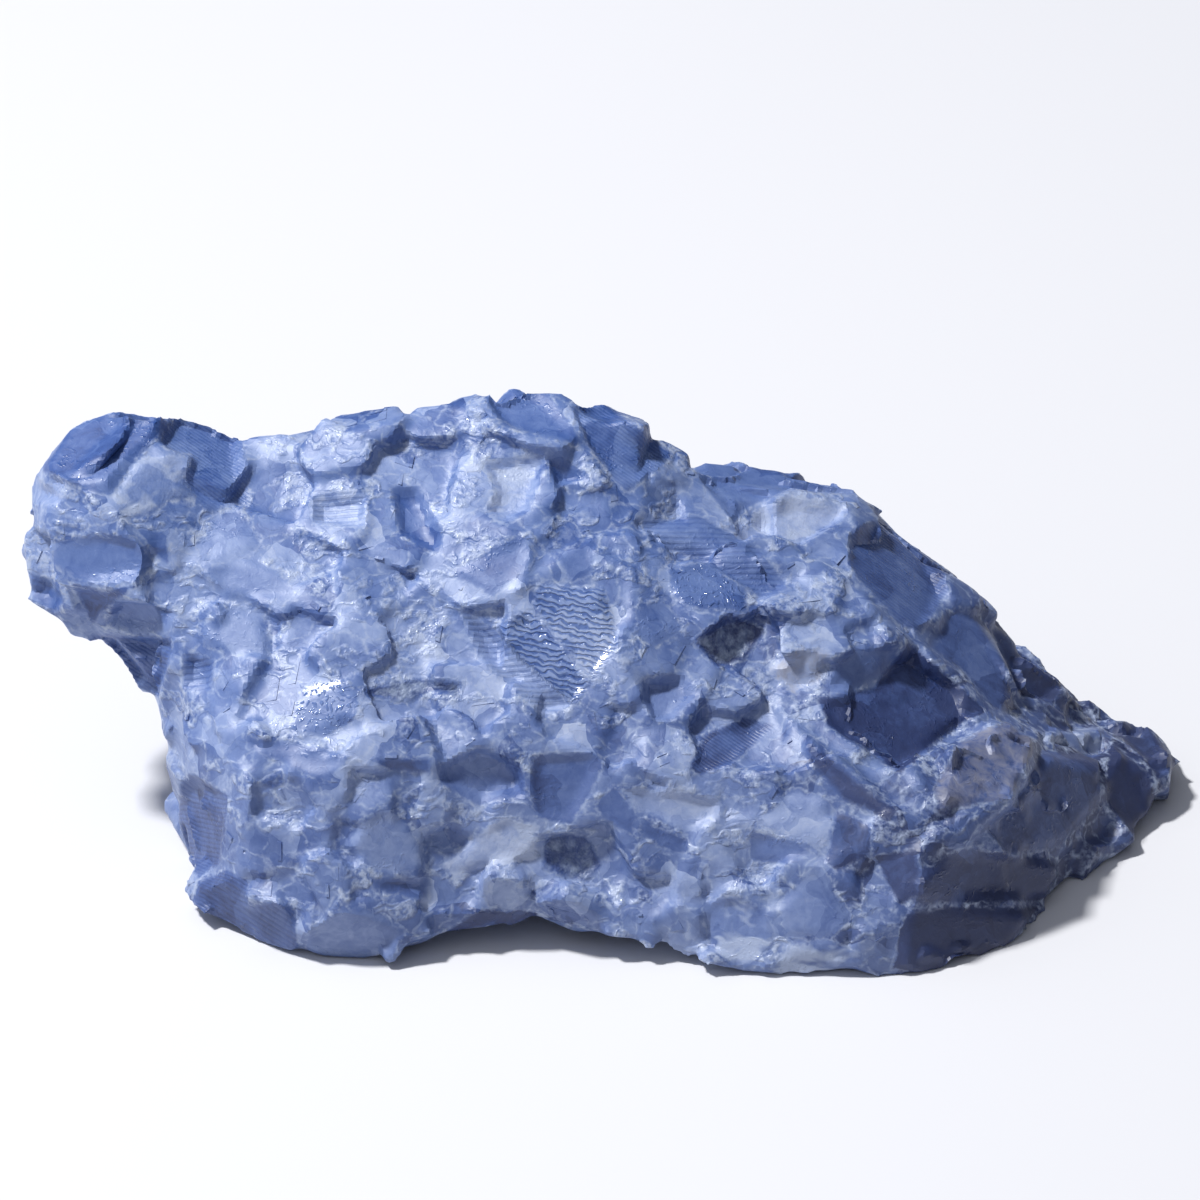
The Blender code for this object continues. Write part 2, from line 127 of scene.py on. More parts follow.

# Panes of the front, each one broad cleavage face or hollow: (kind, how deep its blue is, how far it
# stands out, corners). How deep its blue is: the stone's own colour, and in shaded panes partly painted
# shade, in glaring ones partly painted highlight. Corners are (x, height in view above the front foot),
# in millimetres.
PANES = (
    ("plain", 0.5, 0.0, ((-69.4, 69.6), (-63.7, 73), (-58.2, 73), (-54.6, 72), (-57.6, 68.2), (-59.9, 66.1),
                         (-63.2, 61.1), (-66.7, 61.9), (-72.5, 64.5))),
    ("hatched", 0.3, -0.2, ((-54.6, 73), (-46.9, 70), (-45.5, 59.8), (-48.2, 59.6), (-51.2, 58.7),
                             (-52.8, 60.7), (-54.1, 63.7), (-53.2, 66.1), (-55.8, 66.9), (-57.6, 68.2))),
    # White sheen on this lobe facet: painted reflection of the key, in the frosty white
    ("frost_and_sheen", -0.1, 0.1, ((-59.9, 66.1), (-53.2, 66.1), (-54.1, 63.7), (-52.8, 60.7), (-56.2, 60.5),
                            (-58.2, 58.2), (-62.1, 58.2), (-62.8, 61.1))),
    ("plain", 0.0, 0.2, ((-50.8, 58.2), (-47.3, 59.8), (-45.8, 57.8), (-44, 54.8), (-45.8, 53.4),
                         (-49.1, 52.3), (-51.4, 52.3), (-50.5, 54.6))),
    ("plain", 0.25, 0.1, ((-70.5, 55.5), (-64.6, 56.4), (-59.9, 55.7), (-57.6, 52.5), (-59.9, 50.2),
                          (-65.8, 49.8), (-68.5, 50.7), (-70.8, 52.2))),
    # Under the overhanging left lobe, in shade: this deep blue is partly painted shade
    ("plain", 0.8, -0.3, ((-68.7, 49.9), (-63.6, 49), (-59.8, 49.7), (-63.4, 47.1), (-65.9, 44.8))),
    ("plain", 0.4, 0.0, ((-74.1, 51.3), (-71.2, 50.7), (-69.4, 48.1), (-70.3, 45.4), (-73.8, 47.5))),
    ("plain", 0.15, -0.1, ((-62.8, 47.8), (-58.2, 47.5), (-54.6, 46.1), (-55.8, 43.6), (-59.9, 43.1),
                           (-64.6, 44.5))),
    # Underside of the left lobe, in shade: this deep blue is partly painted shade
    ("hatched", 0.7, -0.2, ((-66.7, 43.6), (-55.3, 43.1), (-55.3, 41.3), (-57.3, 35), (-62.3, 37.5),
                            (-66, 39.5))),
    ("plain", -0.3, 0.1, ((-74.1, 63.4), (-70.5, 62.5), (-68.5, 60.7), (-70.5, 59.6), (-73.5, 60.2))),
    ("plain", 0.5, -0.3, ((-59.9, 56.9), (-56.2, 56.4), (-55.8, 52.2), (-57.3, 53.1))),
    ("striped", 0.5, -0.2, ((-54.1, 41.3), (-49.9, 40.2), (-50.3, 35.9), (-54.1, 36.3))),
    ("plain", 0.15, -0.2, ((-51.2, 51.9), (-45.8, 53.4), (-41.9, 51.6), (-39.6, 47.8), (-49.1, 47.5))),
    ("striped", -0.15, 0.3, ((-37.8, 61.6), (-30.5, 61.9), (-30.5, 56.9), (-37.5, 57.5))),
    ("plain", 0.05, 0.1, ((-52.3, 43.9), (-47.6, 47.2), (-44, 46), (-42.6, 43.1), (-42.6, 39.8),
                          (-51.2, 41.8))),
    ("hatched", 0.7, -0.2, ((-53.2, 25.7), (-47.7, 23), (-48.1, 20.4), (-49.2, 14.1), (-52.2, 11.9),
                            (-53.6, 14), (-55.2, 20), (-54.8, 24))),
    ("hatched", 0.75, 0.0, ((-52.2, 11.6), (-48.3, 13.5), (-45.4, 12.2), (-45.6, 8.6), (-42, 9.6),
                            (-39.7, 8.6), (-38.8, 3), (-47.7, 3), (-52.5, 8))),
    ("plain", 0.1, 0.0, ((-33.6, 8.6), (-31, 9.2), (-25.4, 6), (-27, 2.5), (-32.5, 0), (-38.4, 3),
                         (-37.8, 6))),
    ("plain", 0.45, -0.4, ((-46, 30.6), (-40.1, 29.9), (-32.3, 28), (-35.5, 24.6), (-38.8, 25.9),
                           (-45.4, 28.9))),
    ("glinting", 0.35, 0.1, ((-38.8, 36.5), (-33.6, 38.1), (-31.3, 35.8), (-31.9, 32.5), (-35.5, 30.2),
                             (-40.4, 30.9))),
    ("pitted", 0.8, -0.9, ((-31.3, 36.5), (-24.3, 38.1), (-17.8, 37.5), (-18.5, 35.4), (-22.4, 35.8),
                           (-25.4, 34.5), (-30.2, 35.2))),
    ("plain", -0.05, 0.2, ((-31.9, 19.1), (-28.3, 21.7), (-24.7, 19.1), (-22.4, 13.2), (-29, 12.8),
                           (-33.6, 16.4))),
    ("plain", 0.65, -0.4, ((-30.2, 12.8), (-22.4, 12.6), (-22.4, 9.6), (-29.3, 10.5))),
    ("plain", 1.0, -0.3, ((-24.3, 3), (-15.6, 8.6), (-8.7, 8), (-8.7, 5), (-15.6, 4), (-21.1, 1))),
    ("pitted", 0.7, -0.6, ((-44.1, 24.6), (-41.1, 26.3), (-40.8, 24.4), (-42.7, 23.4))),
    ("pitted", 0.7, -0.5, ((-25.9, 22.5), (-23, 24.6), (-22.5, 23.8), (-25.1, 21.9))),
    ("plain", 0.85, -0.5, ((-29.3, 27.8), (-22.1, 27.8), (-22.1, 25.7), (-26.5, 26), (-28.9, 26.5))),
    ("plain", 0.35, 0.1, ((-21.1, 27), (-16.2, 29.3), (-10.6, 27), (-9.9, 22.3), (-16.2, 21.7),
                          (-21.5, 24.4))),
    ("frost_and_sheen", -0.4, 0.1, ((-21.1, 14.1), (-17.1, 17.8), (-12.6, 20.4), (-8.7, 19.1), (-8.7, 15.1),
                            (-13.9, 13.9), (-19.4, 12.2))),
    ("plain", 0.7, 0.3, ((-9.2, 28.2), (-1.2, 28.6), (-0.3, 27.1), (-2.4, 22.5), (-4.4, 18.9),
                            (-9.2, 20.3), (-9.9, 25.3))),
    ("plain", 0.15, 0.1, ((5.2, 38), (10.3, 38.6), (12.1, 35.8), (8.5, 32.2), (6, 32.2), (4.6, 35.4))),
    ("hatched", 0.9, -0.6, ((12.1, 30.4), (17.8, 32.9), (21.8, 31.8), (16, 26.8), (12.1, 25.3),
                            (10.6, 26.4))),
    ("plain", 0.6, -0.2, ((-1.6, 21.7), (1.2, 24.6), (4.2, 20.3), (3.8, 17.5), (-0.6, 19.9))),
    ("plain", 0.6, -0.2, ((4.6, 19.5), (10.6, 17.5), (10.6, 15.7), (7.8, 15.9), (4.2, 18.1))),
    ("plain", -0.15, 0.3, ((1.2, 24.3), (9.2, 23.5), (15.3, 22.5), (14.2, 19.5), (10.6, 18.1),
                           (4.6, 20.3))),
    ("pitted", 0.9, -0.6, ((-7.8, 17.5), (-2.6, 18.1), (-0.2, 13.9), (-2.6, 11.7), (-8.2, 13.5))),
    ("plain", -0.1, 0.2, ((18.9, 19.3), (23.6, 23.9), (28.7, 22.5), (28.9, 18.1), (27.1, 15.9),
                          (24.3, 17.5))),
    ("plain", 0.55, -0.3, ((18.2, 18.5), (24.3, 17.1), (26.5, 15.7), (22.9, 14.1), (18.5, 14.5))),
    ("frost_and_sheen", 0.3, 0.1, ((12.1, 9.5), (16.4, 10.1), (20.5, 8.7), (21.5, 4), (17.5, 0), (13.5, 3))),
    ("plain", 0.15, 0.3, ((22, 9.5), (27.1, 14.5), (31.5, 7.3), (29, 5), (23, 5))),
    ("frost_and_sheen", 0.1, 0.0, ((23, 4.5), (29, 4.6), (34.1, 1.9), (27.1, 0), (20, -1), (21.8, 2.5))),
    # The recess and, down to the thin end, the right side that faces away from the key: these deep blues are
    # partly painted shade
    ("plain", 1.0, -0.3, ((26.9, 35.3), (34, 36.7), (38.8, 42.6), (49.2, 33.4), (46.5, 32.2), (37.3, 25.6),
                          (28, 31.7))),
    ("plain", 0.85, 0.4, ((25.1, 31.5), (29.7, 27.1), (37.3, 21.1), (35.9, 19.5), (29.7, 22.5),
                         (25.1, 28.2))),
    ("plain", 0.85, 0.0, ((29.3, 21.1), (33.7, 19.3), (33.7, 15.7), (29.3, 13.1), (27.9, 14.5))),
    ("plain", 0.95, 0.0, ((34.1, 15.3), (39.5, 16.3), (40.9, 10.1), (37.3, 8.7))),
    ("stained", -0.4, 0.1, ((21.5, 39.8), (25.1, 41.8), (28.9, 41.2), (27.1, 36.5), (23.6, 35.4),
                            (20.7, 39))),
    ("plain", 0.4, 0.1, ((27.5, 36.1), (28.9, 40.4), (32.3, 42.2), (38.1, 42.2), (35.1, 37.6),
                         (30.9, 35.8))),
    ("hatched", 0.65, 0.1, ((31.4, 57.1), (35.4, 58.3), (44.1, 51.6), (44.5, 49), (40.6, 43.4),
                            (37.4, 44.8), (33.2, 49.8), (31.1, 52.2))),
    ("plain", 0.4, 0.0, ((43.7, 46.2), (47.7, 46.6), (51.5, 40.6), (53, 33.9), (50.8, 32.9), (45.9, 38.5),
                         (41, 42))),
    ("plain", 0.65, -0.2, ((47.9, 47), (50.8, 45.8), (54, 41.2), (60.3, 36.8), (58.2, 34.3), (53.6, 35.3),
                           (50.5, 42))),
    # Pale top edge of the brow where it catches the key: painted highlight
    ("frost_and_sheen", -0.1, 0.2, ((55.8, 30.4), (64.5, 31.5), (64.9, 29), (63.9, 27.6), (56, 29.4))),
    ("plain", 0.55, 0.0, ((64.9, 32.5), (70.9, 31.5), (74.8, 26.5), (71.9, 24.1), (69.1, 28),
                          (65.3, 30.4))),
    ("plain", 0.85, -0.2, ((65.3, 29.4), (70.2, 25.5), (71.6, 21.6), (68.4, 17), (64.2, 22))),
    ("plain", 0.45, 0.0, ((56, 28.6), (63.9, 27.6), (63.9, 21.6), (58.6, 16), (51.5, 14.9),
                           (47.9, 19.1), (51.5, 21.6))),
    ("stained", 0.6, 0.1, ((45.1, 29.7), (51.5, 32.2), (55.4, 29.4), (51.5, 22.3), (42.4, 20.9),
                           (41.7, 23.7))),
    ("plain", 0.7, -0.1, ((36, 12.1), (45.9, 16.3), (57.8, 14.6), (58.2, 12.5), (56.4, 9.2),
                          (40, 9.2))),
    ("plain", 1.0, 0.0, ((38, 8.4), (44.2, 8.8), (55.8, 8.6), (50.6, 2), (41.7, -1), (36.5, 1))),
    ("plain", 0.5, 0.0, ((-15.6, 74), (-10.7, 76), (-7.9, 75), (-5.1, 71.4), (-2.6, 67.5), (-6.5, 68.3),
                         (-10.1, 68.9), (-12.8, 70), (-14.2, 71.4))),
    ("hatched", 0.45, -0.2, ((-4.7, 73), (-0.2, 74), (3.4, 70.5), (9.1, 66.5), (2.6, 61.2),
                             (-2.2, 67.5))),
    ("plain", 0.2, 0.1, ((-7.5, 67.9), (-2.6, 64.1), (-2.2, 63.3), (-6.5, 61.9), (-7.5, 65.5))),
    # White sheen on this facet: painted reflection of the key, in the frosty white
    ("frost_and_sheen", -0.3, 0.1, ((-16.4, 65.7), (-9.3, 67.1), (-7.5, 65.5), (-9.7, 59), (-12.8, 57.6),
                            (-15.6, 59), (-14.2, 61.9))),
    ("plain", 0.35, -0.2, ((-27.7, 62.6), (-23.8, 62.6), (-20.6, 56.2), (-21.2, 53.5), (-26.5, 56.2))),
    ("plain", 0.35, -0.1, ((-20.2, 51.3), (-10.7, 56.4), (-8.7, 53.1), (-14.3, 48.1))),
    ("plain", 0.45, 0.1, ((-6.5, 53.5), (-0.8, 56.4), (-1.6, 51.3), (-4.4, 49.9))),
    # Rippled panes: their pale cyan is partly painted highlight, the glare of the key on the ripples
    ("rippled", 0.3, 0.3, ((-8.7, 49.9), (-0.2, 49.3), (1.9, 42.2), (-1.6, 37.6), (-9.3, 47.1))),
    ("rippled", 0.5, 0.0, ((-14.2, 44.3), (-9.7, 46.8), (-2, 37.1), (-3.7, 34.3), (-11, 39.4))),
    ("striped", -0.1, 0.3, ((-18.9, 47.1), (-14.2, 44.3), (-3.7, 34.3), (-7.8, 33), (-16.1, 40.1))),
    ("plain", 0.2, 0.1, ((4, 46.9), (7.5, 47.9), (10.1, 44.3), (6.1, 41.3), (4, 43.3))),
    ("glinting", 0.35, 0.2, ((7.9, 52.1), (12.8, 52.5), (18.2, 49), (18.2, 46.1), (12.1, 46.5),
                             (8.5, 47.8))),
    ("pitted", 0.9, -0.6, ((10.8, 42.6), (16, 46.4), (20.5, 43.9), (17.9, 40.1), (14.1, 39))),
    ("frost_and_sheen", -0.3, 0.4, ((18.3, 58.7), (23.7, 61.5), (31.4, 60.2), (30.7, 58), (25, 54.8),
                            (19.2, 56.7))),
    ("plain", 0.45, -0.2, ((10.8, 66), (16, 66.2), (31.4, 63.2), (34, 61.2), (23.7, 61.9), (17.9, 59.3),
                          (16.6, 57.4), (12.1, 63.2))),
    ("striped", 0.4, 0.0, ((4.4, 58), (12.1, 58.7), (19.8, 54.4), (23.7, 49), (19.8, 47.8), (12.1, 52.9),
                           (5.7, 54.8))),
)
# Frosty panes are white: crushed ones, and a few that are painted reflection of the key
PANE_KINDS = ("hatched", "striped", "rippled", "glinting", "frost_and_sheen", "pitted", "stained")
# How a pane is pressed flat: the soft rim, the tilt, the share of its rise that is used, and the furthest
# that a corner moves. PANE_REACH is how far from its outline a pane still shows. In millimetres.
PANE_EDGE = 1.3
PANE_TILT = math.radians(3.5)
RISE_SHARE = 0.6
PRESSED_AT_MOST = 1.3
PANE_REACH = 1.5
FEWEST_CORNERS = 12

# Ledges of the front: (rise, reach, points). The stone stands out on the left of the way they run,
# steepest at the line, and dips on the right. Points are (x, height in view), in millimetres.
# LEDGE_DIP is the dip's share of the rise and of the reach, LEDGE_STEP is half the width of the step.
LEDGE_DIP = 0.45
LEDGE_STEP = 0.9
LEDGE_FADE = 3.0
LEDGES = (
    (-0.8, 7.0, ((19.8, 53.7), (27.9, 52.9), (33.2, 49), (38.8, 43.8), (45.1, 39.3), (50.1, 33.9),
                (56.4, 30.4), (64.5, 31.5))),
    (0.8, 7.0, ((42.3, 19.1), (37.3, 21.1), (29.7, 27.1), (25.1, 31.5))),
    (0.7, 7.0, ((46.8, 17.7), (51.5, 22.3), (55.6, 29.4))),
    (0.7, 4.5, ((-18.5, 44.3), (-13.5, 35.3))),
    (0.6, 5.0, ((19.8, 53.7), (12, 57.5), (4, 56.5), (-3, 55.5), (-10.7, 50))),
)

# The stone's blues, from thin to deep, with the deepest also used for painted shade towards the lower
# tip, and its share of light that spreads under the surface
DEEPEST = 1.3
BLUES = (
    (0.10, "A3AEC8"), (0.30, "8090B6"), (0.50, "5F73A2"),
    (0.72, "3F568C"), (0.95, "243564"), (DEEPEST, "13204A"),
)
# Frosty white of crushed stone, also used for painted reflection on a few panes
FROST_AND_SHEEN = "9CA8C2"
STAIN = "7C7D8C"
PIT_DARK, PIT_PALE = "4C5C7E", "929FB6"
CALCITE_IOR = 1.6
WAXY = 0.50
SPREAD = 0.1
SPREAD_REACH = 2.0 * MM
# A wave texture repeats after this many of its own units
WAVE_TURN = 0.314
LINES_APART = 0.75 * MM

# The studio: one soft key from the upper left, and a room that is brighter on that side
FLOOR_SIZE = 6.0
FLOOR_COLOUR = "D2D2D5"
KEY_PLACE = (-0.65, 0.0, 1.25)
KEY_SIZE = 0.14
KEY_WATTS = 26.0
ROOM_COLOUR = "EAF0FF"
ROOM_BRIGHT_SIDE = (-0.55, -0.30, 0.78)
ROOM_FADE = (-0.25, 0.9)
ROOM_LIGHT = (0.02, 0.55)


def linear(hex_colour):
    """An sRGB colour such as "A0B4D8" as linear red, green, blue and alpha."""
    parts = [int(hex_colour[k:k + 2], 16) / 255 for k in (0, 2, 4)]
    return tuple(c / 12.92 if c <= 0.04045 else ((c + 0.055) / 1.055) ** 2.4 for c in parts) + (1.0,)


def alone(piece):
    """Makes piece the only selected and the active object."""
    bpy.ops.object.select_all(action="DESELECT")
    piece.select_set(True)
    bpy.context.view_layer.objects.active = piece


def copy_of_solid(node, name):
    """A copy of a CAD node, with its corners merged and each flat face in one piece."""
    stone = bpy.data.objects.new(name, node.data.copy())
    stone.data.name = name
    bpy.context.scene.collection.objects.link(stone)
    alone(stone)
    bpy.ops.object.mode_set(mode="EDIT")
    bpy.ops.mesh.select_all(action="SELECT")
    bpy.ops.mesh.remove_doubles(threshold=MERGED)
    bpy.ops.mesh.dissolve_limited(angle_limit=FLAT_FACE)
    bpy.ops.object.mode_set(mode="OBJECT")
    return stone


def new_block(name):
    """A unit cube to shape into a block, alone and in edit mode with nothing selected."""
    bpy.ops.object.select_all(action="DESELECT")
    bpy.ops.mesh.primitive_cube_add(size=1.0)
    block = bpy.context.object
    block.name = name
    bpy.ops.object.mode_set(mode="EDIT")
    bpy.ops.mesh.select_all(action="DESELECT")
    return block


def select_top(block, low, high):
    """Selects the faces of a block that face up and have their middle between two places along X."""
    mesh = bmesh.from_edit_mesh(block.data)
    for face in mesh.faces:
        middle = face.calc_center_median()
        face.select_set(face.normal.z > FACES_UP and low < middle.x < high)
    bmesh.update_edit_mesh(block.data)


def stepped_block(name, steps):
    """A block whose top has terraces along X, each given as (from, to, rise)."""
    block = new_block(name)
    for place in sorted({end for low, high, _ in steps for end in (low, high)}):
        if abs(place) < 0.5:
            bpy.ops.mesh.select_all(action="SELECT")
            bpy.ops.mesh.bisect(plane_co=(place, 0, 0), plane_no=(1, 0, 0))
    for low, high, rise in steps:
        bpy.ops.mesh.select_all(action="DESELECT")
        select_top(block, low, high)
        bpy.ops.mesh.extrude_region_move(TRANSFORM_OT_translate={"value": (0, 0, rise)})
    bpy.ops.mesh.select_all(action="SELECT")
    bpy.ops.mesh.normals_make_consistent(inside=False)
    bpy.ops.object.mode_set(mode="OBJECT")
    return block


def cleavage_blocks():
    """The few kinds of small block that the stone breaks into, in a unit cube."""
    plain = new_block("plain_block")
    bpy.ops.object.mode_set(mode="OBJECT")
    return (
        plain,
        stepped_block("ledge_block", ((-0.5, 0.1, 0.09),)),
        stepped_block("stair_block", ((-0.5, -0.28, 0.05), (-0.1, 0.12, 0.09), (0.3, 0.5, 0.05))),
        stepped_block("ridge_block", ((-0.32, -0.2, 0.06), (-0.05, 0.22, 0.04))),
    )


def triangles_of(stone):
    """The solid's triangles: corners in millimetres, normals, and which flat face each is part of."""
    mesh = stone.data
    mesh.calc_loop_triangles()
    places = np.empty(len(mesh.vertices) * 3)
    mesh.vertices.foreach_get("co", places)
    places = places.reshape(-1, 3) / MM
    corners = places[np.array([triangle.vertices[:] for triangle in mesh.loop_triangles])]
    owners = np.array([triangle.polygon_index for triangle in mesh.loop_triangles])
    normals = np.array([mesh.polygons[owner].normal[:] for owner in owners])
    return corners, normals, owners


def towards_eye(normals):
    """How far normals face the camera, from -1 to 1."""
    return -normals[:, 1] * math.cos(VIEW_TILT) + normals[:, 2] * math.sin(VIEW_TILT)


def height_in_view(places):
    """How high places appear above the front foot, in millimetres."""
    return places[..., 2] * math.cos(VIEW_TILT) + places[..., 1] * math.sin(VIEW_TILT) - LOWEST_IN_VIEW


def inside_pane(across_view, corners):
    """How far places (x, height in view) are inside a pane's outline. Outside it is less than zero."""
    ends = np.array(corners, float)
    nearest = np.full(len(across_view), np.inf)
    inside = np.zeros(len(across_view), bool)
    for a, b in zip(ends, np.roll(ends, -1, axis=0)):
        along = np.clip((across_view - a) @ (b - a) / ((b - a) @ (b - a)), 0, 1)
        nearest = np.minimum(nearest, np.linalg.norm(across_view - a - along[:, None] * (b - a), axis=1))
        crosses = (a[1] > across_view[:, 1]) != (b[1] > across_view[:, 1])
        rise = b[1] - a[1] if b[1] != a[1] else 1.0
        inside ^= crosses & (across_view[:, 0] < a[0] + (across_view[:, 1] - a[1]) * (b[0] - a[0]) / rise)
    return np.where(inside, nearest, -nearest)


def nearest_pane(places, facing):
    """Which pane each place is in or nearest to, and how far it is inside."""
    across_view = np.stack((places[:, 0], height_in_view(places)), axis=1)
    depths = np.stack([inside_pane(across_view, corners) for *_, corners in PANES])
    depths[:, towards_eye(facing) < SEEN] = -2 * PANE_REACH
    return depths.argmax(axis=0), depths.max(axis=0)


def places_of(mesh):
    """The places of a mesh's corners in millimetres, and the way that each faces."""
    places = np.empty(len(mesh.vertices) * 3)
    facing = np.empty(len(mesh.vertices) * 3)
    mesh.vertices.foreach_get("co", places)
    mesh.vertex_normals.foreach_get("vector", facing)
    return places.reshape(-1, 3) / MM, facing.reshape(-1, 3)


def worn_stone(stone):
    """Wears all edges of a stone a little."""
    wear = stone.modifiers.new("wear", "SMOOTH")
    wear.factor = WEAR
    wear.iterations = WORN_ROUNDS
    bpy.ops.object.modifier_apply(modifier=wear.name)


def healed_stone(stone):
    """Fills the gaps between the grains and wears their edges, as on the real broken face."""
    alone(stone)
    heal = stone.modifiers.new("heal", "REMESH")
    heal.mode = "VOXEL"
    heal.voxel_size = HEALED * MM
    bpy.ops.object.modifier_apply(modifier=heal.name)
    worn_stone(stone)


def raise_ledges(stone):
    """Lifts the stone on one side of each ledge line and lowers it on the other."""
    mesh = stone.data
    places, facing = places_of(mesh)
    across_view = np.stack((places[:, 0], height_in_view(places)), axis=1)
    front = np.clip(towards_eye(facing) * LEDGE_FADE, 0, 1)
    for rise, reach, points in LEDGES:
        nearest = np.full(len(places), np.inf)
        side = np.zeros(len(places))
        for a, b in zip(np.array(points, float), np.array(points[1:], float)):
            along = np.clip((across_view - a) @ (b - a) / ((b - a) @ (b - a)), 0, 1)
            away = across_view - a - along[:, None] * (b - a)
            far = np.linalg.norm(away, axis=1)
            left = (b - a)[0] * away[:, 1] - (b - a)[1] * away[:, 0]
            side = np.where(far < nearest, np.sign(left), side)
            nearest = np.minimum(nearest, far)
        lift = np.clip(1 - nearest / reach, 0, 1) ** 2 * rise
        dip = np.clip(1 - nearest / (LEDGE_DIP * reach), 0, 1) ** 2 * rise
        upper = np.clip(0.5 + 0.5 * side * nearest / LEDGE_STEP, 0, 1)
        places += ((upper * lift - (1 - upper) * dip * LEDGE_DIP) * front)[:, None] * facing
    mesh.vertices.foreach_set("co", (places * MM).reshape(-1))
    mesh.update()


def press_panes(stone, draw):
    """Makes each pane flat: its corners move to one plane, a little tilted and raised."""
    mesh = stone.data
    places, facing = places_of(mesh)
    owner, depth = nearest_pane(places, facing)
    for k, (_, _, rise, _) in enumerate(PANES):
        held = (owner == k) & (depth > 0)
        if held.sum() < FEWEST_CORNERS:
            continue
        normal = facing[held].mean(axis=0)
        normal /= np.linalg.norm(normal)
        tilt = abs(draw.normal(0, PANE_TILT))
        normal = turned(normal, turned(across(normal), normal, draw.uniform(0, math.tau)), tilt)
        middle = places[held].mean(axis=0) + RISE_SHARE * rise * normal
        move = np.clip((middle - places[held]) @ normal, -PRESSED_AT_MOST, PRESSED_AT_MOST)
        share = np.clip(depth[held] / PANE_EDGE, 0, 1)
        places[held] += (move * share * share * (3 - 2 * share))[:, None] * normal
    mesh.vertices.foreach_set("co", (places * MM).reshape(-1))
    mesh.update()


def scattered(areas, corners, spacings, draw):
    """Triangles, each with a place on it, that keep their spacing from each other."""
    cell = float(spacings.max())
    grid = {}
    chosen = []
    picks = draw.choice(len(areas), size=PLACES_TRIED, p=areas / areas.sum())
    mixes = draw.random((PLACES_TRIED, 2))
    steps = [(dx, dy, dz) for dx in (-1, 0, 1) for dy in (-1, 0, 1) for dz in (-1, 0, 1)]
    for pick, (u, v) in zip(picks, mixes):
        if u + v > 1:
            u, v = 1 - u, 1 - v
        a, b, c = corners[pick]
        place = a + u * (b - a) + v * (c - a)
        key = (int(place[0] // cell), int(place[1] // cell), int(place[2] // cell))
        near = [
            other
            for dx, dy, dz in steps
            for other in grid.get((key[0] + dx, key[1] + dy, key[2] + dz), ())
        ]
        if near and (((np.array(near) - place) ** 2).sum(axis=1) < spacings[pick] ** 2).any():
            continue
        grid.setdefault(key, []).append(place)
        chosen.append((int(pick), place))
    return chosen


def turned(vector, axis, angle):
    """vector turned about axis, by the right-hand rule."""
    return np.array(Matrix.Rotation(angle, 3, Vector(axis)) @ Vector(vector))


def across(direction):
    """A unit vector square to direction."""
    side = np.cross(direction, (0.0, 0.0, 1.0) if abs(direction[2]) < 0.9 else (1.0, 0.0, 0.0))
    return side / np.linalg.norm(side)


def block_edges(face, spin):
    """The three edge directions of a cleavage block whose top faces along face. The third is down."""
    first = turned(across(face), face, spin)
    second = turned(first, face, BLOCK_ANGLE)
    share = math.cos(BLOCK_ANGLE)
    inward = (first + second) * share / (1 + share)
    down = math.sqrt(1 - float(inward @ inward))
    return first, second, inward - down * face


def seated(tree, corner):
    """Whether a block's corner lies close to the healed stone and hardly stands out of it."""
    place, lie, _, gap = tree.find_nearest(Vector(corner))
    return gap < OVERHANG and (Vector(corner) - place).dot(lie) < PROUD


def seats(faces, stone, draw):
    """Where small blocks sit on the healed stone: the middle of the top, and the three edges."""
    corners, normals, owners = faces
    areas = np.linalg.norm(
        np.cross(corners[:, 1] - corners[:, 0], corners[:, 2] - corners[:, 0]), axis=1
    ) / 2
    seen = towards_eye(normals) > SEEN
    resting = (normals[:, 2] < -FACES_DOWN) & (corners[:, :, 2].max(axis=1) < RESTS_WITHIN)
    denser = (REST_SPACING / FRONT_SPACING) ** 2
    areas = np.where(resting, 0.0, areas * np.where(seen, denser, 1.0))
    spacings = np.where(seen, FRONT_SPACING, REST_SPACING)
    tree = BVHTree.FromPolygons(
        [corner.co / MM for corner in stone.data.vertices],
        [polygon.vertices[:] for polygon in stone.data.polygons],
    )
    leans = draw.normal(0, FACE_TILT, owners.max() + 1)
    turns = draw.uniform(0, math.tau, (owners.max() + 1, 2))
    chosen = scattered(areas, corners, spacings, draw)
    facing = np.array([normals[pick] for pick, _ in chosen])
    _, depths = nearest_pane(np.array([place for _, place in chosen]), facing)
    found = []
    for (pick, place), depth in zip(chosen, depths):
        if depth > -OFF_PANE:
            continue
        place, lie, _, _ = tree.find_nearest(Vector(place))
        normal = normals[pick] + FOLLOW * np.array(lie)
        normal /= np.linalg.norm(normal)
        way, spin = turns[owners[pick]]
        lean = leans[owners[pick]] + draw.normal(0, BLOCK_TILT)
        if draw.random() < CROSS_SHARE:
            lean = draw.normal(0, CROSS_TILT)
            way, spin = draw.uniform(0, math.tau, 2)
        face = turned(normal, turned(across(normal), normal, way), lean)
        first, second, down = block_edges(face, spin)
        short = draw.uniform(*(FRONT_SIDE if seen[pick] else REST_SIDE))
        long = short * draw.uniform(*STRETCH)
        low, high = STAND_OUT
        if abs(towards_eye(normal[None])[0]) < GRAZING:
            high = low / 2
        top = np.array(place) + normal * draw.uniform(low, high)
        for _ in range(SHRINK_ROUNDS):
            reach = [
                top + ends[0] * long / 2 * first + ends[1] * short / 2 * second
                for ends in ((-1, -1), (-1, 1), (1, -1), (1, 1))
            ]
            if all(seated(tree, corner) for corner in reach):
                found.append((top, np.array((first * long, second * short, -down * BLOCK_DEPTH))))
                break
            short, long = short * SHRINK, long * SHRINK
    return found


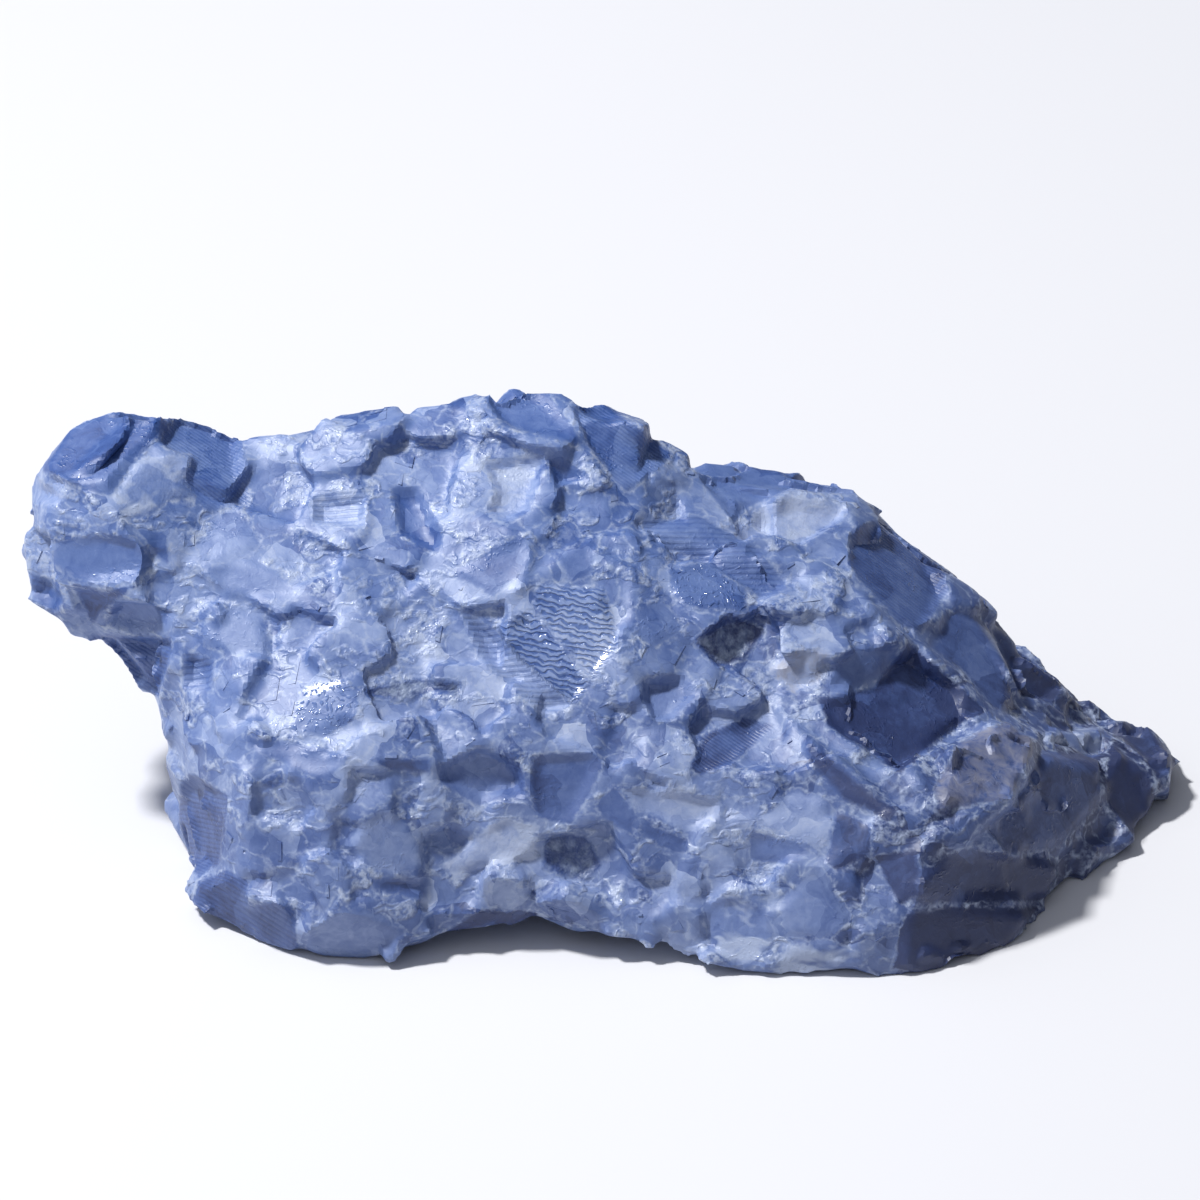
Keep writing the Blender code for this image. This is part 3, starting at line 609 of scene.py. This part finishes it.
def kept_apart(found):
    """Groups of seats such that no two blocks of a group touch."""
    groups = []
    for top, edges in found:
        middle = top - edges[2] / 2
        radius = np.linalg.norm(edges, axis=1).sum() / 2
        for group in groups:
            gaps = np.linalg.norm(np.array(group["middles"]) - middle, axis=1)
            if (gaps > radius + np.array(group["radii"])).all():
                break
        else:
            group = {"middles": [], "radii": [], "seats": []}
            groups.append(group)
        group["middles"].append(middle)
        group["radii"].append(radius)
        group["seats"].append((top, edges))
    return [group["seats"] for group in groups]


def add_grain_data(mesh, tones, axes):
    """Keeps how deep each grain's colour is and which way its fine lines run."""
    tone = mesh.attributes.new("tone", "FLOAT", "FACE")
    tone.data.foreach_set("value", np.asarray(tones, np.float32))
    axis = mesh.attributes.new("axis", "FLOAT_VECTOR", "FACE")
    axis.data.foreach_set("vector", np.asarray(axes, np.float32).reshape(-1))


def block_copies(name, group, kinds, draw):
    """One object with a copy of one kind of block at each seat of a group."""
    points, faces, tones, axes = [], [], [], []
    for top, edges in group:
        kind = kinds[draw.integers(len(kinds))].data
        places = (np.array([corner.co[:] for corner in kind.vertices]) - (0, 0, 0.5)) @ edges + top
        faces.extend(tuple(len(points) + k for k in polygon.vertices) for polygon in kind.polygons)
        points.extend(Vector(place) * MM for place in places)
        tones.extend([draw.random()] * len(kind.polygons))
        axes.extend([edges[1] / np.linalg.norm(edges[1])] * len(kind.polygons))
    mesh = bpy.data.meshes.new(name)
    mesh.from_pydata(points, [], faces)
    add_grain_data(mesh, tones, axes)
    return bpy.data.objects.new(name, mesh)


def broken_surface(stone, kinds, draw):
    """Sets the small blocks into the stone's faces and joins all to one surface."""
    faces = triangles_of(stone)
    healed_stone(stone)
    press_panes(stone, draw)
    raise_ledges(stone)
    worn_stone(stone)
    found = seats(faces, stone, draw)
    count = len(stone.data.polygons)
    add_grain_data(stone.data, np.full(count, 0.5), np.zeros((count, 3)))
    blocks = bpy.data.collections.new("small_blocks")
    bpy.context.scene.collection.children.link(blocks)
    for k, group in enumerate(kept_apart(found)):
        blocks.objects.link(block_copies(f"blocks_{k:02d}", group, kinds, draw))
    alone(stone)
    join = stone.modifiers.new("join small blocks", "BOOLEAN")
    join.operation = "UNION"
    join.operand_type = "COLLECTION"
    join.collection = blocks
    join.solver = "MANIFOLD"
    bpy.ops.object.modifier_apply(modifier=join.name)
    for piece in list(blocks.objects) + list(kinds):
        bpy.data.objects.remove(piece)
    bpy.data.collections.remove(blocks)
    # Small triangles in flat places are merged
    fewer = stone.modifiers.new("fewer triangles", "DECIMATE")
    fewer.ratio = TRIANGLES_KEPT
    bpy.ops.object.modifier_apply(modifier=fewer.name)
    # What reaches below the table is cut off flat, as the feet are
    bpy.ops.object.mode_set(mode="EDIT")
    bpy.ops.mesh.select_all(action="SELECT")
    bpy.ops.mesh.bisect(
        plane_co=(0, 0, 0), plane_no=(0, 0, 1), use_fill=True, clear_inner=True, threshold=MERGED,
    )
    bpy.ops.object.mode_set(mode="OBJECT")
    bpy.ops.object.shade_smooth_by_angle(angle=SHARP)


def paint_panes(stone):
    """Keeps on each corner which pane it is in, for the material."""
    mesh = stone.data
    owner, depth = nearest_pane(*places_of(mesh))
    near = depth > -PANE_REACH
    values = {"pane": np.clip(depth, -PANE_REACH, PANE_REACH)}
    values["pane_blue_light_and_shade"] = np.where(near, np.array([blue for _, blue, _, _ in PANES])[owner], 0.0)
    for kind in PANE_KINDS:
        values[kind] = near & np.array([pane[0] == kind for pane in PANES])[owner]
    for name, value in values.items():
        attribute = mesh.attributes.new(name, "FLOAT", "POINT")
        attribute.data.foreach_set("value", value.astype(np.float32))


def connect(tree, made, inputs):
    """Gives a node's inputs their values. A node as the value stands for its first output."""
    for name, value in inputs.items():
        ready = [socket for socket in made.inputs if not socket.is_unavailable]
        socket = made.inputs[name] if isinstance(name, int) else next(s for s in ready if s.name == name)
        if isinstance(value, bpy.types.Node):
            value = next(output for output in value.outputs if not output.is_unavailable)
        if isinstance(value, bpy.types.NodeSocket):
            tree.links.new(value, socket)
        else:
            socket.default_value = value


def node(tree, kind, inputs=None, **settings):
    """Adds a node with its settings, its values and its links."""
    made = tree.nodes.new("ShaderNode" + kind)
    for name, value in settings.items():
        setattr(made, name, value)
    connect(tree, made, inputs or {})
    return made


def layered(tree, start, *layers):
    """Lays layers of tone or height over each other: start, and each layer times its share."""
    for layer, share in layers:
        start = node(tree, "Math", {0: layer, 1: share, 2: start}, operation="MULTIPLY_ADD")
    return start


def blue_calcite():
    """Blue calcite, broken by hand: cloudy, so a small share of the light spreads under the surface.

    Its cleavage faces have fine parallel lines and glassy bowls. Crushed streaks, seams and rims are
    frosty white, and a few panes are stained beige. Some pale panes and light bands are painted
    reflection and highlight, and the blue is painted darker where the stone is in shade and paler on its
    lit top. Scales are per metre: 330 is a pattern of 3 mm.
    """
    material = bpy.data.materials.new("blue_calcite_broken")
    material.use_nodes = True
    tree = material.node_tree
    place = node(tree, "TexCoord").outputs["Object"]
    kept = {
        name: node(tree, "Attribute", attribute_name=name).outputs["Fac"]
        for name in ("pane", "pane_blue_light_and_shade", "tone") + PANE_KINDS
    }

    # Places pushed about by about half a millimetre, so that grains have uneven outlines
    push = node(tree, "TexNoise", {"Vector": place, "Scale": 330.0, "Detail": 1.5}).outputs["Color"]
    push = node(tree, "VectorMath", {0: push, 1: (0.5, 0.5, 0.5)}, operation="SUBTRACT")
    push = node(tree, "VectorMath", {0: push, "Scale": 3.0 * MM}, operation="SCALE")
    uneven = node(tree, "VectorMath", {0: place, 1: push}, operation="ADD")
    fine = node(tree, "TexNoise", {"Vector": place, "Scale": 900.0, "Detail": 2.0, "Roughness": 0.65})

    # Grains of 6 mm and splinters of 2 mm: each has its own tone, that fades from one side to the other
    grains = []
    for scale, fade in ((160.0, 1.1), (480.0, 0.8)):
        cells = node(tree, "TexVoronoi", {"Vector": uneven, "Scale": scale})
        inside = node(tree, "VectorMath", {0: uneven, 1: cells.outputs["Position"]}, operation="SUBTRACT")
        way = node(
            tree, "VectorMath", {0: cells.outputs["Color"], 1: (0.5, 0.5, 0.5)}, operation="SUBTRACT",
        )
        lean = node(tree, "VectorMath", {0: inside, 1: way}, operation="DOT_PRODUCT")
        own = node(tree, "SeparateColor", {"Color": cells.outputs["Color"]}).outputs
        grains.append((layered(tree, own[0], (lean, fade * scale)), own[1], lean, way))
    (grain_tone, grain_chance, _, grain_way), (splinter_tone, _, splinter_lean, _) = grains

    # Clouds of 9 mm and veils of 2.6 mm. A deeper, greyer blue towards the thin end and low down: partly the
    # stone's own colour, partly painted shade, as that side faces away from the key. A paler, purer blue on
    # top: painted light where the key falls.
    clouds = node(tree, "TexNoise", {"Vector": place, "Scale": 110.0, "Detail": 2.0, "Roughness": 0.6})
    veils = node(tree, "TexNoise", {"Vector": uneven, "Scale": 380.0, "Detail": 3.0, "Roughness": 0.75})
    to_deep_and_shaded_tip = node(tree, "VectorMath", {0: place, 1: (0.8, 0.0, -0.6)}, operation="DOT_PRODUCT")
    tip = node(tree, "MapRange", {"Value": to_deep_and_shaded_tip, "From Min": 9 * MM, "From Max": 42 * MM})
    to_lit_crown = node(tree, "VectorMath", {0: place, 1: (-0.2, 0.0, 1.0)}, operation="DOT_PRODUCT")
    lit_crown = node(tree, "MapRange", {"Value": to_lit_crown, "From Min": 22 * MM, "From Max": 48 * MM})

    # Fine lines of 0.8 mm and less across the grain's own direction, on about half of the grains
    axis = node(tree, "Attribute", attribute_name="axis").outputs["Vector"]
    own_way = node(tree, "VectorMath", {0: axis, 1: grain_way}, operation="ADD")
    own_way = node(tree, "VectorMath", {0: own_way}, operation="NORMALIZE")
    run = node(tree, "VectorMath", {0: uneven, 1: own_way}, operation="DOT_PRODUCT")
    lines = node(tree, "TexNoise", {
        "W": run, "Scale": 1300.0, "Detail": 2.0, "Roughness": 0.7,
    }, noise_dimensions="1D")
    lined = node(tree, "MapRange", {"Value": grain_chance, "From Min": 0.45, "From Max": 0.6})
    lines = node(tree, "Math", {0: lines, 1: lined}, operation="MULTIPLY")

    # The panes: their edges are a little ragged
    edge = layered(tree, -1.25, (fine, 0.9), (veils, 1.6), (kept["pane"], 1.0))
    soft = layered(tree, -0.9, (clouds, 2.8))
    soft = node(tree, "Math", {0: soft, 1: 0.2}, operation="MAXIMUM")
    pane = node(tree, "MapRange", {"Value": edge, "From Min": -0.15, "From Max": soft})
    hatched, striped, rippled, glinting, frost_and_sheen, stained = (
        node(tree, "Math", {0: kept[name], 1: pane}, operation="MULTIPLY")
        for name in PANE_KINDS if name != "pitted"
    )

    # Scratches 0.44 mm apart over hatched panes, and straight lines in striped ones and waves in rippled
    # ones, 0.75 mm apart. In rippled panes the pale bands are also painted highlight: the glare of the key
    # on the ripples.
    turn = layered(tree, 0.05, (kept["hatched"], -0.65), (kept["rippled"], -0.25))
    turn = node(tree, "CombineXYZ", {"X": 0.75, "Y": turn})
    upright = node(tree, "Mapping", {"Vector": place, "Rotation": turn})
    waves = node(tree, "TexWave", {
        "Vector": upright, "Scale": layered(tree, WAVE_TURN / LINES_APART, (kept["hatched"], 300.0)),
        "Detail": 1.0, "Detail Scale": 1.8, "Distortion": layered(tree, 1.2, (kept["rippled"], 5.0)),
    }, bands_direction="Z").outputs["Fac"]
    waves = node(tree, "MapRange", {"Value": waves, "From Min": 0.1, "From Max": 0.7})
    combed = layered(tree, 0.0, (hatched, 0.18), (striped, 0.22), (rippled, 0.9))
    bands_and_ripple_glare = node(tree, "Math", {0: waves, 1: combed}, operation="MULTIPLY")

    # How deep the blue is: the stone's own tones, plus painted shade towards the lower tip, painted light
    # on the top, and the pane tones with their own painted light and shade
    free = layered(
        tree, 0.17, (clouds, 0.52), (grain_tone, 0.30), (splinter_tone, 0.12), (kept["tone"], 0.18),
        (lines, 0.16), (veils, -0.30), (fine, -0.20), (tip, 0.42), (lit_crown, -0.08),
    )
    held = layered(
        tree, 0.36, (kept["pane_blue_light_and_shade"], 0.50), (clouds, 0.38), (grain_tone, 0.08), (splinter_tone, 0.06),
        (veils, -0.32), (fine, -0.18), (lines, 0.20), (tip, 0.26),
    )
    depth = node(tree, "Mix", {"Factor": pane, "A": free, "B": held})
    depth = layered(tree, depth, (bands_and_ripple_glare, -0.34))
    depth = node(tree, "Math", {0: depth, 1: DEEPEST}, operation="DIVIDE")
    blues = node(tree, "ValToRGB", {"Fac": depth})
    ramp = blues.color_ramp
    for position, _ in BLUES[1:-1]:
        ramp.elements.new(position / DEEPEST)
    for stop, (position, colour) in zip(ramp.elements, BLUES):
        stop.position, stop.color = position / DEEPEST, linear(colour)
    # Purer blue on the lit top and greyer towards the shaded tip: painted light and shade
    light_and_shade_purity = layered(tree, 0.98, (lit_crown, 0.10), (tip, -0.08))
    blues = node(tree, "HueSaturation", {"Color": blues, "Saturation": light_and_shade_purity})

    # Frost: ragged streaks where the stone is crushed and in the frosty panes, and on broken pane rims.
    # Some frosty panes are white sheen: painted reflection of the key.
    along = node(tree, "Mapping", {"Vector": uneven, "Rotation": (0.7, 0.5, 0.0), "Scale": (0.7, 0.7, 1.8)})
    streaks = node(tree, "TexNoise", {"Vector": along, "Scale": 190.0, "Detail": 2.0, "Roughness": 0.8})
    crushed = node(tree, "MapRange", {"Value": streaks, "From Min": 0.52, "From Max": 0.60})
    crumbs = node(tree, "MapRange", {"Value": fine, "From Min": 0.40, "From Max": 0.62, "To Max": 0.8})
    free_frost = node(tree, "Math", {0: crushed, 1: crumbs}, operation="MULTIPLY")
    ragged = node(tree, "MapRange", {"Value": streaks, "From Min": 0.45, "From Max": 0.56, "To Max": 0.9})
    pane_frost_and_sheen = node(tree, "Math", {0: frost_and_sheen, 1: ragged}, operation="MULTIPLY")
    off_rim = node(tree, "Math", {0: edge}, operation="ABSOLUTE")
    rim = node(tree, "MapRange", {
        "Value": off_rim, "From Min": 0.05, "From Max": 0.3, "To Min": 1.0, "To Max": 0.0,
    })
    rim = node(tree, "Math", {0: rim, 1: crumbs}, operation="MULTIPLY")
    seams = node(tree, "TexVoronoi", {"Vector": uneven, "Scale": 230.0}, feature="DISTANCE_TO_EDGE")
    seams = node(tree, "MapRange", {
        "Value": seams, "From Min": 0.0, "From Max": 0.07, "To Min": 1.0, "To Max": 0.0,
    })
    seams = node(tree, "Math", {0: seams, 1: crumbs}, operation="MULTIPLY")
    free_frost = layered(tree, free_frost, (seams, 0.75))
    # The white cover: frost, and painted reflection of the key on the sheen panes
    frost_and_sheen_cover = node(tree, "Mix", {"Factor": pane, "A": free_frost, "B": pane_frost_and_sheen})
    frost_and_sheen_cover = layered(tree, frost_and_sheen_cover, (rim, 0.5))
    coloured = node(tree, "Mix", {"Factor": frost_and_sheen_cover, "A": blues, "B": linear(FROST_AND_SHEEN)}, data_type="RGBA")

    # Beige stains, and pits full of dark blue-green crumbs
    stain = node(tree, "MapRange", {"Value": veils, "From Min": 0.35, "From Max": 0.65, "To Max": 0.8})
    stain = node(tree, "Math", {0: stained, 1: stain}, operation="MULTIPLY")
    coloured = node(tree, "Mix", {"Factor": stain, "A": coloured, "B": linear(STAIN)}, data_type="RGBA")
    grit = node(tree, "MapRange", {"Value": fine, "From Min": 0.36, "From Max": 0.62})
    pit = node(tree, "Mix", {"Factor": grit, "A": linear(PIT_DARK), "B": linear(PIT_PALE)}, data_type="RGBA")
    in_pit = layered(tree, -4.8, (veils, 5.2), (clouds, 4.2), (kept["pane"], 0.9))
    in_pit = node(tree, "MapRange", {"Value": in_pit, "From Min": 0.0, "From Max": 1.5, "To Max": 0.85})
    in_pit = node(tree, "Math", {0: in_pit, 1: kept["pitted"]}, operation="MULTIPLY")
    coloured = node(tree, "Mix", {"Factor": in_pit, "A": coloured, "B": pit}, data_type="RGBA")

    # Relief, in metres: splinters lean their own way, with crumbs, waves, and tiny bowls that break the
    # light into glints
    inner = node(tree, "MapRange", {"Value": kept["pane"], "From Min": -0.2, "From Max": 0.5})
    loose = layered(tree, 1.0, (inner, -0.88))
    in_hatched, in_striped, in_rippled, in_glinting, in_frost_and_sheen, in_pitted = (
        node(tree, "Math", {0: kept[name], 1: inner}, operation="MULTIPLY")
        for name in PANE_KINDS if name != "stained"
    )
    crumbly = node(tree, "Math", {0: loose, 1: crushed}, operation="MULTIPLY")
    crumbly = layered(tree, 0.03, (crumbly, 0.3), (in_pitted, 0.4), (in_frost_and_sheen, 0.15))
    ridged = layered(tree, 0.0, (in_hatched, 0.18), (in_striped, 0.22), (in_rippled, 0.9))
    bowls = node(tree, "TexNoise", {"Vector": uneven, "Scale": 1700.0, "Detail": 1.0})
    bowls = node(tree, "MapRange", {"Value": bowls, "From Min": 0.54, "From Max": 0.72})
    glints = layered(tree, 0.12, (in_glinting, 0.8), (crushed, 0.45))
    glassy = node(tree, "Math", {0: bowls, 1: glints}, operation="MULTIPLY")
    relief = 0.0
    for height, where, rise in (
        (splinter_lean, loose, 0.09), (fine, crumbly, 0.6 * MM), (waves, ridged, 0.16 * MM),
        (bowls, glints, 0.08 * MM),
    ):
        here = node(tree, "Math", {0: height, 1: where}, operation="MULTIPLY")
        relief = layered(tree, relief, (here, rise))
    bump = node(tree, "Bump", {"Height": relief, "Distance": 1.0, "Strength": 1.0})

    waxy = layered(tree, WAXY, (glinting, -0.2), (glassy, -0.5), (rippled, -0.28))
    connect(tree, tree.nodes["Principled BSDF"], {
        "Base Color": coloured, "Normal": bump, "Roughness": waxy, "IOR": CALCITE_IOR,
        "Subsurface Weight": SPREAD, "Subsurface Radius": (0.6, 0.75, 1.0), "Subsurface Scale": SPREAD_REACH,
    })
    return material


def pale_floor():
    """The table: a plain pale board with the stone's shadow on it."""
    bpy.ops.object.select_all(action="DESELECT")
    bpy.ops.mesh.primitive_plane_add(size=FLOOR_SIZE)
    floor = bpy.context.object
    floor.name = "floor"
    material = bpy.data.materials.new("pale_board_matt")
    material.use_nodes = True
    shader = material.node_tree.nodes["Principled BSDF"]
    shader.inputs["Base Color"].default_value = linear(FLOOR_COLOUR)
    shader.inputs["Roughness"].default_value = 0.9
    floor.data.materials.append(material)
    return floor


def area_light(name, place, size, watts, colour):
    """A square studio light that faces the stone."""
    lamp = bpy.data.lights.new(name, "AREA")
    lamp.size = size
    lamp.energy = watts
    lamp.color = linear(colour)[:3]
    light = bpy.data.objects.new(name, lamp)
    light.location = place
    light.rotation_euler = (-Vector(place)).to_track_quat("-Z", "Y").to_euler()
    bpy.context.scene.collection.objects.link(light)


def studio():
    """Camera, lights and the pale surroundings."""
    scene = bpy.context.scene
    lens = bpy.data.cameras.new("camera")
    lens.sensor_width = SENSOR_WIDTH
    lens.lens = PIXELS_PER_MM * VIEW_DISTANCE / MM * SENSOR_WIDTH / PICTURE_PIXELS
    camera = bpy.data.objects.new("camera", lens)
    aim = Vector((AIM_X, 0.0, AIM_HEIGHT_IN_VIEW / math.cos(VIEW_TILT))) * MM
    camera.location = aim + VIEW_DISTANCE * Vector((0.0, -math.cos(VIEW_TILT), math.sin(VIEW_TILT)))
    camera.rotation_euler = (math.pi / 2 - VIEW_TILT, 0.0, 0.0)
    scene.collection.objects.link(camera)
    scene.camera = camera
    area_light("key", KEY_PLACE, KEY_SIZE, KEY_WATTS, "FFFFFF")
    world = bpy.data.worlds.new("room_lit_from_the_left")
    world.use_nodes = True
    tree = world.node_tree
    way = node(tree, "TexCoord").outputs["Generated"]
    side = node(tree, "VectorMath", {0: way, 1: ROOM_BRIGHT_SIDE}, operation="DOT_PRODUCT")
    light = node(tree, "MapRange", {
        "Value": side, "From Min": ROOM_FADE[0], "From Max": ROOM_FADE[1],
        "To Min": ROOM_LIGHT[0], "To Max": ROOM_LIGHT[1],
    })
    connect(tree, tree.nodes["Background"], {"Color": linear(ROOM_COLOUR), "Strength": light})
    scene.world = world
    scene.view_settings.view_transform = "Standard"


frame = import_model()
draw = np.random.default_rng(SEED)
chunk = copy_of_solid(frame["nodes"]["calcite_chunk"], "broken_chunk")
broken_surface(chunk, cleavage_blocks(), draw)
paint_panes(chunk)
chunk.data.materials.clear()
chunk.data.materials.append(blue_calcite())
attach(chunk, "root")
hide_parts("calcite_chunk")
pale_floor()
studio()
